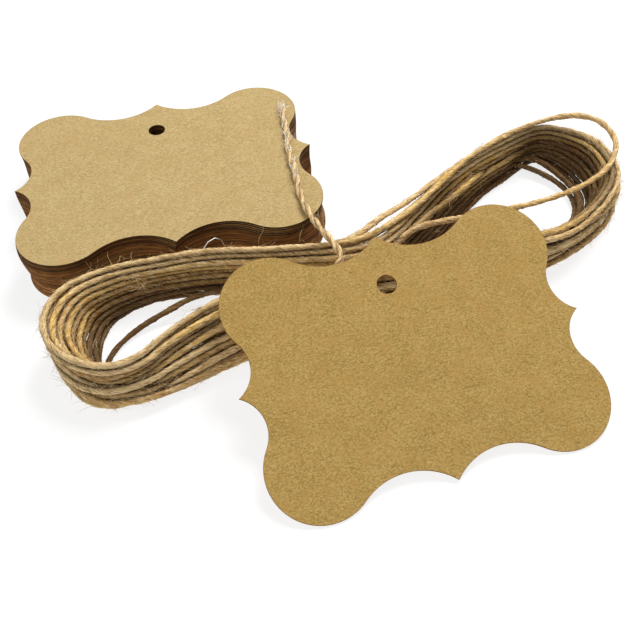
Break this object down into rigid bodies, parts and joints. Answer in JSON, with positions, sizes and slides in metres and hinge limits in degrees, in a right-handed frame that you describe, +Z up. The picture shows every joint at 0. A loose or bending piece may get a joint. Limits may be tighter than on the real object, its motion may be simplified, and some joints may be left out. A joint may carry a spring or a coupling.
{
  "type": "gift tag set",
  "caption": "Kraft card gift tags with lobed, pointed edges and a tie hole, squared up in a stack, with a tag leaning on a hank of jute twine.",
  "frame": {"origin": "middle of the stack on the table it lies on", "axes": "+X along the long side of the stacked tags, +Y from the twine towards the tags' tie holes, +Z up"},
  "size_m": [0.1422, 0.1187, 0.0186],
  "materials": {
    "card": "matte uncoated kraft card",
    "twine": "rough natural jute, lightly twisted"
  },
  "bodies": {
    "stack_tag_01": {"stack_tag_01": "card"},
    "stack_tag_02": {"stack_tag_02": "card"},
    "stack_tag_03": {"stack_tag_03": "card"},
    "stack_tag_04": {"stack_tag_04": "card"},
    "stack_tag_05": {"stack_tag_05": "card"},
    "stack_tag_06": {"stack_tag_06": "card"},
    "stack_tag_07": {"stack_tag_07": "card"},
    "stack_tag_08": {"stack_tag_08": "card"},
    "stack_tag_09": {"stack_tag_09": "card"},
    "stack_tag_10": {"stack_tag_10": "card"},
    "stack_tag_11": {"stack_tag_11": "card"},
    "stack_tag_12": {"stack_tag_12": "card"},
    "stack_tag_13": {"stack_tag_13": "card"},
    "stack_tag_14": {"stack_tag_14": "card"},
    "stack_tag_15": {"stack_tag_15": "card"},
    "stack_tag_16": {"stack_tag_16": "card"},
    "stack_tag_17": {"stack_tag_17": "card"},
    "stack_tag_18": {"stack_tag_18": "card"},
    "stack_tag_19": {"stack_tag_19": "card"},
    "stack_tag_20": {"stack_tag_20": "card"},
    "stack_tag_21": {"stack_tag_21": "card"},
    "stack_tag_22": {"stack_tag_22": "card"},
    "stack_tag_23": {"stack_tag_23": "card"},
    "stack_tag_24": {"stack_tag_24": "card"},
    "twine": {"twine_hank": "twine", "twine_free_end": "twine", "twine_loose_turn": "twine"},
    "leaning_tag": {"leaning_tag": "card"}
  },
  "joints": [
    {"name": "stack_tag_02_draw", "type": "slide", "parent": "stack_tag_01", "child": "stack_tag_02", "axis": [0, 1, 0], "range_m": [0, 0.06]},
    {"name": "stack_tag_03_draw", "type": "slide", "parent": "stack_tag_01", "child": "stack_tag_03", "axis": [0, 1, 0], "range_m": [0, 0.06]},
    {"name": "stack_tag_04_draw", "type": "slide", "parent": "stack_tag_01", "child": "stack_tag_04", "axis": [0, 1, 0], "range_m": [0, 0.06]},
    {"name": "stack_tag_05_draw", "type": "slide", "parent": "stack_tag_01", "child": "stack_tag_05", "axis": [0, 1, 0], "range_m": [0, 0.06]},
    {"name": "stack_tag_06_draw", "type": "slide", "parent": "stack_tag_01", "child": "stack_tag_06", "axis": [0, 1, 0], "range_m": [0, 0.06]},
    {"name": "stack_tag_07_draw", "type": "slide", "parent": "stack_tag_01", "child": "stack_tag_07", "axis": [0, 1, 0], "range_m": [0, 0.06]},
    {"name": "stack_tag_08_draw", "type": "slide", "parent": "stack_tag_01", "child": "stack_tag_08", "axis": [0, 1, 0], "range_m": [0, 0.06]},
    {"name": "stack_tag_09_draw", "type": "slide", "parent": "stack_tag_01", "child": "stack_tag_09", "axis": [0, 1, 0], "range_m": [0, 0.06]},
    {"name": "stack_tag_10_draw", "type": "slide", "parent": "stack_tag_01", "child": "stack_tag_10", "axis": [0, 1, 0], "range_m": [0, 0.06]},
    {"name": "stack_tag_11_draw", "type": "slide", "parent": "stack_tag_01", "child": "stack_tag_11", "axis": [0, 1, 0], "range_m": [0, 0.06]},
    {"name": "stack_tag_12_draw", "type": "slide", "parent": "stack_tag_01", "child": "stack_tag_12", "axis": [0, 1, 0], "range_m": [0, 0.06]},
    {"name": "stack_tag_13_draw", "type": "slide", "parent": "stack_tag_01", "child": "stack_tag_13", "axis": [0, 1, 0], "range_m": [0, 0.06]},
    {"name": "stack_tag_14_draw", "type": "slide", "parent": "stack_tag_01", "child": "stack_tag_14", "axis": [0, 1, 0], "range_m": [0, 0.06]},
    {"name": "stack_tag_15_draw", "type": "slide", "parent": "stack_tag_01", "child": "stack_tag_15", "axis": [0, 1, 0], "range_m": [0, 0.06]},
    {"name": "stack_tag_16_draw", "type": "slide", "parent": "stack_tag_01", "child": "stack_tag_16", "axis": [0, 1, 0], "range_m": [0, 0.06]},
    {"name": "stack_tag_17_draw", "type": "slide", "parent": "stack_tag_01", "child": "stack_tag_17", "axis": [0, 1, 0], "range_m": [0, 0.06]},
    {"name": "stack_tag_18_draw", "type": "slide", "parent": "stack_tag_01", "child": "stack_tag_18", "axis": [0, 1, 0], "range_m": [0, 0.06]},
    {"name": "stack_tag_19_draw", "type": "slide", "parent": "stack_tag_01", "child": "stack_tag_19", "axis": [0, 1, 0], "range_m": [0, 0.06]},
    {"name": "stack_tag_20_draw", "type": "slide", "parent": "stack_tag_01", "child": "stack_tag_20", "axis": [0, 1, 0], "range_m": [0, 0.06]},
    {"name": "stack_tag_21_draw", "type": "slide", "parent": "stack_tag_01", "child": "stack_tag_21", "axis": [0, 1, 0], "range_m": [0, 0.06]},
    {"name": "stack_tag_22_draw", "type": "slide", "parent": "stack_tag_01", "child": "stack_tag_22", "axis": [0, 1, 0], "range_m": [0, 0.06]},
    {"name": "stack_tag_23_draw", "type": "slide", "parent": "stack_tag_01", "child": "stack_tag_23", "axis": [0, 1, 0], "range_m": [0, 0.06]},
    {"name": "stack_tag_24_draw", "type": "slide", "parent": "stack_tag_01", "child": "stack_tag_24", "axis": [0, 1, 0], "range_m": [0, 0.06]},
    {"name": "twine_draw", "type": "slide", "parent": "stack_tag_01", "child": "twine", "axis": [0, -1, 0], "range_m": [0, 0.08]},
    {"name": "leaning_tag_lift", "type": "slide", "parent": "twine", "child": "leaning_tag", "axis": [0, 0, 1], "range_m": [0, 0.04]}
  ]
}
